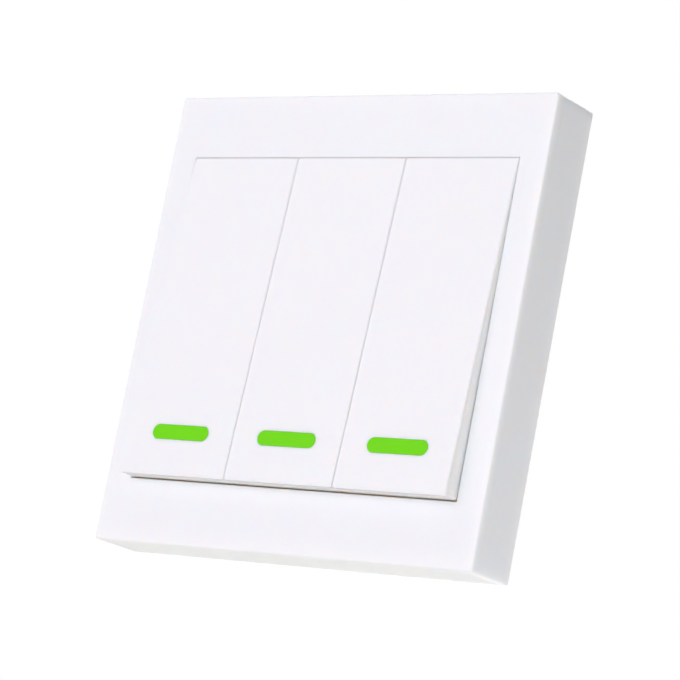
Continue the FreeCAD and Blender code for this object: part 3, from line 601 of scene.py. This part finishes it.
# %% [markdown]
# ## The cell's sleeve
# The cell wears a shrunk plastic film, dark with a lighter band at its positive end. The band is
# chosen by how far along the cell a point lies, so it needs no picture.

# %% Make the sleeve's finish
CELL_LOW, CELL_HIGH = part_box("battery_cell")
BAND_START = CELL_HIGH.x - 8.0 * MM

tree, pattern, _, shader = new_finish(
    "cell_sleeve", skin_group,
    {"Colour": rgba(0.030, 0.034, 0.040), "Cloud Colour": rgba(0.036, 0.040, 0.048), "Grain Scale": 3000.0,
     "Grain Share": 0.2, "Wave Scale": 500.0, "Shine Low": 0.16, "Shine High": 0.24},
    bump_strength=0.4, bump_distance=0.03 * MM,
    shader_values={"Coat Weight": 0.3, "Coat Roughness": 0.08})
split = split_place(tree)
past_start = calculate(tree, "GREATER_THAN", split.outputs["X"], BAND_START)
banded = blend_colours(tree, past_start, pattern.outputs["Colour"], rgba(0.62, 0.42, 0.14))
tree.links.new(banded, shader.inputs["Base Color"])
print("finishes:", sorted(finishes))

# %% [markdown]
# ## Dress the measured pieces
# The record names a finish for every piece of the model. Reading it there keeps both in step. Only
# the rockers take their own version of the white.

# %% Put the finishes on
for part in frame["record"]["subparts"]:
    materials = frame["nodes"][part["node"]].data.materials
    materials.clear()
    leaning = part["node"].startswith("rocker_")
    materials.append(finishes["rocker_gloss" if leaning else part["material_slot"]])

# %% [markdown]
# ## Small pieces on the parts inside
# A new piece is built in a bmesh, an editable mesh, with the same operators as in the mesh editor.
# This helper turns a finished bmesh into an object, smooths its faces but keeps its sharp edges, and
# makes it ride with the housing, because all these pieces sit on parts that stay still.

# %% Helper that finishes a piece
SHARP_ANGLE = math.radians(35.0)


def finish_piece(builder, name, slots):
    """Object from a bmesh, with its finishes, that rides on the housing."""
    bmesh.ops.recalc_face_normals(builder, faces=builder.faces)
    mesh = bpy.data.meshes.new(name)
    builder.to_mesh(mesh)
    builder.free()
    mesh.shade_smooth()
    mesh.set_sharp_from_angle(angle=SHARP_ANGLE)
    piece = bpy.data.objects.new(name, mesh)
    bpy.context.scene.collection.objects.link(piece)
    for slot in slots:
        mesh.materials.append(finishes[slot])
    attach(piece, "housing")
    print(name, len(mesh.polygons), "faces")
    return piece


# %% [markdown]
# ## The cell in full
# The model's cell is a plain cylinder. A real one has a steel can with a dished bottom, a film that
# folds round both ends, and a stepped top with the contact nub. It is round all over, so half of its
# outline turned about the axis with spin makes it in one go.

# %% Turn the cell
CELL_STEPS = 72
BARE_STEEL_RADIUS = 3.32 * MM
# The outline gives the distance from the negative end and from the axis, in millimetres
CELL_RADIUS = (CELL_HIGH.z - CELL_LOW.z) / 2 / MM
CAN_LENGTH = 27.4
FOLD_RADIUS = 0.5
FOLD_STEPS = 4
DISHED_END = [(0.40, 0.0), (0.40, 1.9), (0.14, 2.5), (0.12, 3.1), (0.20, 3.3), (0.10, 3.36)]
CONTACT_END = [(-0.10, 3.36), (-0.20, 3.3), (-0.26, 3.1), (-0.26, 2.2), (-0.10, 2.0), (0.06, 1.86),
               (0.60, 1.78), (0.74, 1.66), (0.80, 1.4), (0.80, 0.0)]


def fold(along, start_angle):
    """Quarter circle where the film folds round an end, from a start angle in degrees."""
    points = []
    for step in range(FOLD_STEPS + 1):
        angle = math.radians(start_angle - 90.0 * step / FOLD_STEPS)
        points.append((along + FOLD_RADIUS * math.cos(angle),
                       CELL_RADIUS - FOLD_RADIUS + FOLD_RADIUS * math.sin(angle)))
    return points


cell_outline = DISHED_END + fold(FOLD_RADIUS, 180.0) + fold(CAN_LENGTH - FOLD_RADIUS, 90.0)
cell_outline += [(CAN_LENGTH + along, away) for along, away in CONTACT_END]

cell_axis = Vector((0, (CELL_LOW.y + CELL_HIGH.y) / 2, (CELL_LOW.z + CELL_HIGH.z) / 2))
builder = bmesh.new()
corners = [builder.verts.new((CELL_LOW.x + along * MM, cell_axis.y, cell_axis.z + away * MM))
           for along, away in cell_outline]
for start, end in zip(corners, corners[1:]):
    builder.edges.new((start, end))
bmesh.ops.spin(builder, geom=builder.verts[:] + builder.edges[:], cent=cell_axis, axis=(1, 0, 0),
               angle=math.tau, steps=CELL_STEPS, use_merge=True, use_duplicate=False)
bmesh.ops.remove_doubles(builder, verts=builder.verts, dist=0.001 * MM)
for face in builder.faces:
    middle = face.calc_center_median()
    away = math.hypot(middle.y - cell_axis.y, middle.z - cell_axis.z)
    face.material_index = 1 if away < BARE_STEEL_RADIUS else 0
cell = finish_piece(builder, "cell_in_sleeve", ["cell_sleeve", "can_steel"])
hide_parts("battery_cell")

# %% [markdown]
# ## Low round forms
# Heaps of solder, the heads of the rivets and the mark on the chip are all low cones or cylinders that
# stand on a face, and their outer rim is rounded. The rim is found by its height above the face.

# %% Helper for rounded rims
TOP_SHARE = 0.9
RIM_STEPS = 3


def round_rim(builder, made, face, outward, height, rim):
    """Rounds the outer rim of a cone or a cylinder that stands on a face."""
    edges = {edge for vert in made["verts"] for edge in vert.link_edges}
    top = [edge for edge in edges
           if all((vert.co.y - face) * outward > TOP_SHARE * height for vert in edge.verts)]
    bmesh.ops.bevel(builder, geom=top, offset=rim, affect="EDGES", segments=RIM_STEPS, profile=0.5,
                    material=-1)


# %% [markdown]
# ## Pads, solder and tracks
# Every leg stands on a tinned pad under a little heap of solder, and green-covered tracks run between
# the pads. All of them lie flat on one side of the board, so they share three helpers that take a
# place in millimetres across and up, and the side of the board.

# %% Helpers for what lies on the board
BOARD_LOW, BOARD_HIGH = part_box("circuit_board")
BOARD_SIDES = {"front": (BOARD_LOW.y, -1.0), "back": (BOARD_HIGH.y, 1.0)}
PAD_HEIGHT = 0.03 * MM
TRACK_HEIGHT = 0.025 * MM
TRACK_END_SIDES = 16
HEAP_SIDES = 20
HEAP_RADIUS = 0.5 * MM
HEAP_TOP_RADIUS = 0.24 * MM
HEAP_RIM = 0.12 * MM


def flat_bar(builder, side, x, z, length, width, height, angle=0.0):
    """Low bar on the board, turned by an angle in its plane."""
    face, outward = BOARD_SIDES[side]
    place = Matrix.Translation((x * MM, face + outward * height / 2, z * MM))
    shape = Matrix.Diagonal((length * MM, height, width * MM, 1.0))
    bmesh.ops.create_cube(builder, size=1.0, matrix=place @ Matrix.Rotation(angle, 4, "Y") @ shape)


def low_heap(builder, side, x, z, length, width, height):
    """Heap of solder: a wide flat cone with a rounded top."""
    face, outward = BOARD_SIDES[side]
    place = Matrix.Translation((x * MM, face + outward * height * MM / 2, z * MM))
    shape = Matrix.Diagonal((length, 1.0, width, 1.0))
    lay = Matrix.Rotation(math.radians(-90.0 * outward), 4, "X")
    made = bmesh.ops.create_cone(builder, cap_ends=True, segments=HEAP_SIDES, radius1=HEAP_RADIUS,
                                 radius2=HEAP_TOP_RADIUS, depth=height * MM, matrix=place @ shape @ lay)
    round_rim(builder, made, face, outward, height * MM, HEAP_RIM)


def track(builder, side, points, width):
    """Run of track along points, with a round end at each."""
    face, outward = BOARD_SIDES[side]
    lay = Matrix.Rotation(math.radians(90.0), 4, "X")
    for start, end in zip(points, points[1:]):
        run = Vector(end) - Vector(start)
        middle = (Vector(start) + Vector(end)) / 2
        flat_bar(builder, side, middle.x, middle.y, run.length, width, TRACK_HEIGHT,
                 -math.atan2(run.y, run.x))
    for x, z in points:
        place = Matrix.Translation((x * MM, face + outward * TRACK_HEIGHT / 2, z * MM))
        bmesh.ops.create_cone(builder, cap_ends=True, segments=TRACK_END_SIDES, radius1=width * MM / 2,
                              radius2=width * MM / 2, depth=TRACK_HEIGHT, matrix=place @ lay)


# %% [markdown]
# The places of the pads are found from the model itself. Rows of equal things are spaced evenly about
# the middle of the piece that they belong to. A pad is given by its length and width, and a heap of
# solder by its length, width and height, all in millimetres.

# %% Helpers for places on the board
def middle_of(node):
    """Middle of a piece, across and up, in millimetres."""
    low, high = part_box(node)
    return (low.x + high.x) / 2 / MM, (low.z + high.z) / 2 / MM


def even_row(middle, count, pitch):
    """Places of equal things in a row about a middle."""
    return [middle + (i - (count - 1) / 2) * pitch for i in range(count)]


# %% Lay the pads of the push switches, two on each side
SWITCHES = ("left", "middle", "right")
LEG_SPACING = 4.5
FOOT_OUT = 0.85
LEG_PAD = (1.5, 1.3)
LEG_SOLDER = (1.3, 1.15, 0.32)
LEG_SOLDER_SHIFT = 0.1

pads = bmesh.new()
solder = bmesh.new()
for name in SWITCHES:
    low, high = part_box("switch_base_" + name)
    x, z = middle_of("switch_base_" + name)
    for side in (-1, 1):
        foot = x + side * ((high.x - low.x) / 2 / MM + FOOT_OUT)
        for up in even_row(z, 2, LEG_SPACING):
            flat_bar(pads, "front", foot, up, *LEG_PAD, PAD_HEIGHT)
            low_heap(solder, "front", foot + side * LEG_SOLDER_SHIFT, up, *LEG_SOLDER)

# %% Lay the pads of the encoder chip, four on each side
LEADS = 4
LEAD_PITCH = 1.27
LEAD_PAD = (1.3, 0.62)
LEAD_PAD_OUT = 2.75
LEAD_SOLDER = (0.62, 0.5, 0.16)
LEAD_SOLDER_OUT = 2.95

x, z = middle_of("encoder_chip")
for side in (-1, 1):
    for up in even_row(z, LEADS, LEAD_PITCH):
        flat_bar(pads, "back", x + side * LEAD_PAD_OUT, up, *LEAD_PAD, PAD_HEIGHT)
        low_heap(solder, "back", x + side * LEAD_SOLDER_OUT, up, *LEAD_SOLDER)

# %% Lay the pads of the resistors and the capacitors, one at each end
SMALL_PARTS = {"chip_resistors": 6, "chip_capacitors": 4}
PART_PITCH = 3.2
END_PAD = (1.35, 0.9)
END_PAD_OUT = 1.05

for node, count in SMALL_PARTS.items():
    x, z = middle_of(node)
    for across in even_row(x, count, PART_PITCH):
        for end in (-1, 1):
            flat_bar(pads, "back", across, z + end * END_PAD_OUT, *END_PAD, PAD_HEIGHT)

# %% Lay the pads of the aerial and of the cell's contacts
ANTENNA_INSET = 0.75
ANTENNA_PAD = (2.0, 2.2)
ANTENNA_SOLDER = (1.7, 1.9, 0.55)
CONTACT_INSET = 1.6
CONTACT_PAD = (3.6, 5.6)
CONTACT_SOLDER = (2.0, 1.6, 0.42)
CONTACT_SOLDER_OUT = 1.6

low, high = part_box("antenna_strip")
z = middle_of("antenna_strip")[1]
for x in (low.x / MM + ANTENNA_INSET, high.x / MM - ANTENNA_INSET):
    flat_bar(pads, "front", x, z, *ANTENNA_PAD, PAD_HEIGHT)
    low_heap(solder, "front", x, z, *ANTENNA_SOLDER)
for node in ("battery_contact_positive", "battery_contact_negative"):
    low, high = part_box(node)
    z = middle_of(node)[1]
    x = high.x / MM - CONTACT_INSET if node.endswith("positive") else low.x / MM + CONTACT_INSET
    flat_bar(pads, "front", x, z, *CONTACT_PAD, PAD_HEIGHT)
    for end in (-1, 1):
        low_heap(solder, "front", x, z + end * CONTACT_SOLDER_OUT, *CONTACT_SOLDER)
finish_piece(pads, "board_pads", ["tinned_steel"])
finish_piece(solder, "solder_heaps", ["can_steel"])

# %% [markdown]
# Tracks are short runs with square or slanting corners. Their points are plain millimetres across and
# up on the board, chosen to join the pads in a sensible order.

# %% Lay the tracks
BACK_TRACKS = [
    [(-14.0, -5.8), (-14.0, -2.0), (-10.9, 0.1)],
    [(-10.8, -5.8), (-10.8, -3.4), (-12.6, -1.6), (-12.6, 1.4), (-10.9, 1.4)],
    [(-7.6, -5.8), (-7.6, -3.2), (-5.1, -0.7), (-5.1, 0.1)],
    [(-4.4, -5.8), (-4.4, -2.4), (-2.6, -0.6), (-2.6, 1.4), (-5.1, 1.4)],
    [(-1.2, -5.8), (-1.2, 0.8), (-3.1, 2.7), (-5.1, 2.7)],
    [(2.0, -5.8), (2.0, 1.6), (-0.3, 3.9), (-5.1, 3.9)],
    [(-10.9, 2.7), (-14.6, 2.7), (-17.2, 5.3), (-22.0, 5.3), (-24.6, 7.2)],
    [(-10.9, 3.9), (-13.0, 6.0), (-13.0, 21.0), (-9.0, 25.0), (3.0, 25.0), (4.0, 26.1)],
    [(6.0, 20.2), (6.0, 23.4), (5.4, 24.8), (5.9, 26.6)],
    [(9.2, 20.2), (9.2, 22.6), (7.0, 24.8), (7.0, 27.0), (5.9, 27.0)],
    [(12.4, 20.2), (12.4, 31.0), (18.0, 35.6)],
    [(15.6, 20.2), (15.6, 29.0), (21.0, 34.4)],
    [(6.0, 17.8), (6.0, 12.0), (0.0, 6.0), (0.0, 5.2)],
    [(9.2, 17.8), (9.2, 11.0), (20.0, 7.2), (22.6, 7.2)],
    [(12.4, 17.8), (12.4, 14.6), (15.6, 14.6), (15.6, 17.8)],
    [(-14.0, -10.2), (-14.0, -14.0), (-18.0, -18.0), (-18.0, -33.0)],
    [(-10.8, -10.2), (-10.8, -12.8), (2.0, -12.8), (2.0, -10.2)],
    [(-7.6, -10.2), (-7.6, -12.8)],
    [(-1.2, -10.2), (-1.2, -15.6), (16.0, -19.0), (18.0, -22.0), (18.0, -33.0)],
]
FRONT_TRACKS = [
    [(-20.9, 12.2), (-20.9, 16.0), (-6.0, 16.0), (-3.8, 13.8), (-3.8, 12.2)],
    [(3.8, 12.2), (3.8, 16.0), (18.7, 16.0), (20.9, 13.8), (20.9, 12.2)],
    [(-28.6, 7.7), (-28.6, 1.2), (-20.0, -7.4), (-20.0, -24.0)],
    [(28.6, 7.7), (28.6, 1.2), (20.0, -7.4), (20.0, -24.0)],
    [(-3.8, 7.7), (-3.8, 0.4), (3.8, -7.2), (3.8, -14.0), (-10.0, -22.0)],
    [(1.0, 33.4), (1.0, 24.0), (-7.0, 16.0)],
    [(19.6, 33.4), (19.6, 22.0), (14.0, 16.0)],
]
BACK_WIDTH = 0.55
FRONT_WIDTH = 0.9

tracks = bmesh.new()
for points in BACK_TRACKS:
    track(tracks, "back", points, BACK_WIDTH)
for points in FRONT_TRACKS:
    track(tracks, "front", points, FRONT_WIDTH)
finish_piece(tracks, "board_tracks", ["board_green"])

# %% [markdown]
# ## Rivets and marks
# Each switch cover is held by four tiny heads, formed by heat from pegs of the base. The chip has a
# round mark at its first lead. Both are low cylinders with a rounded rim.

# %% Form the rivets and the chip's mark
BUTTON_SIDES = 24


def low_button(builder, x, y, z, radius, height, outward, rim):
    """Round button along the depth, with its outer rim rounded."""
    lay = Matrix.Rotation(math.radians(90.0), 4, "X")
    place = Matrix.Translation((x, y + outward * height / 2, z))
    made = bmesh.ops.create_cone(builder, cap_ends=True, segments=BUTTON_SIDES, radius1=radius,
                                 radius2=radius, depth=height, matrix=place @ lay)
    round_rim(builder, made, y, outward, height, rim)


RIVET_INSET = 0.8 * MM
RIVET_RADIUS = 0.45 * MM
RIVET_HEIGHT = 0.22 * MM
RIVET_RIM = 0.15 * MM
MARK_RADIUS = 0.28 * MM
MARK_HEIGHT = 0.02 * MM
MARK_RIM = 0.008 * MM
MARK_ASIDE = 1.2 * MM
MARK_INSET = 0.75 * MM

rivets = bmesh.new()
for name in SWITCHES:
    low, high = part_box("switch_cover_" + name)
    for x in (low.x + RIVET_INSET, high.x - RIVET_INSET):
        for z in (low.z + RIVET_INSET, high.z - RIVET_INSET):
            low_button(rivets, x, low.y, z, RIVET_RADIUS, RIVET_HEIGHT, -1.0, RIVET_RIM)
finish_piece(rivets, "switch_rivets", ["black_plastic"])

low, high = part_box("encoder_chip")
mark = bmesh.new()
low_button(mark, (low.x + high.x) / 2 - MARK_ASIDE, high.y, high.z - MARK_INSET, MARK_RADIUS,
           MARK_HEIGHT, 1.0, MARK_RIM)
finish_piece(mark, "chip_mark", ["resistor_body"])

# %% [markdown]
# ## End caps of the small parts
# Chip resistors and capacitors are solid bricks with a tinned cap at each end. Each cap is a thin box
# just larger than the end of the brick, so it wraps the end and the three sides clear of the board.

# %% Cap the small parts
PART_WIDTH = 1.25
CAP_LENGTH = 0.42
CAP_SKIN = 0.03
CAP_WIDTH = PART_WIDTH + 2 * CAP_SKIN
CAP_RIM = 0.05 * MM

caps = bmesh.new()
for node, count in SMALL_PARTS.items():
    low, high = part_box(node)
    x, z = middle_of(node)
    half = (high.z - low.z) / 2 / MM
    height = (high.y - low.y) / MM
    for across in even_row(x, count, PART_PITCH):
        for end in (-1, 1):
            place = Matrix.Translation((across * MM, low.y + (height + CAP_SKIN) * MM / 2,
                                        (z + end * (half - CAP_LENGTH / 2 + CAP_SKIN)) * MM))
            shape = Matrix.Diagonal((CAP_WIDTH * MM, (height + CAP_SKIN) * MM, CAP_LENGTH * MM, 1.0))
            made = bmesh.ops.create_cube(caps, size=1.0, matrix=place @ shape)
            edges = {edge for vert in made["verts"] for edge in vert.link_edges}
            bmesh.ops.bevel(caps, geom=list(edges), offset=CAP_RIM, affect="EDGES", segments=2,
                            profile=0.5, material=-1)
finish_piece(caps, "part_end_caps", ["tinned_steel"])
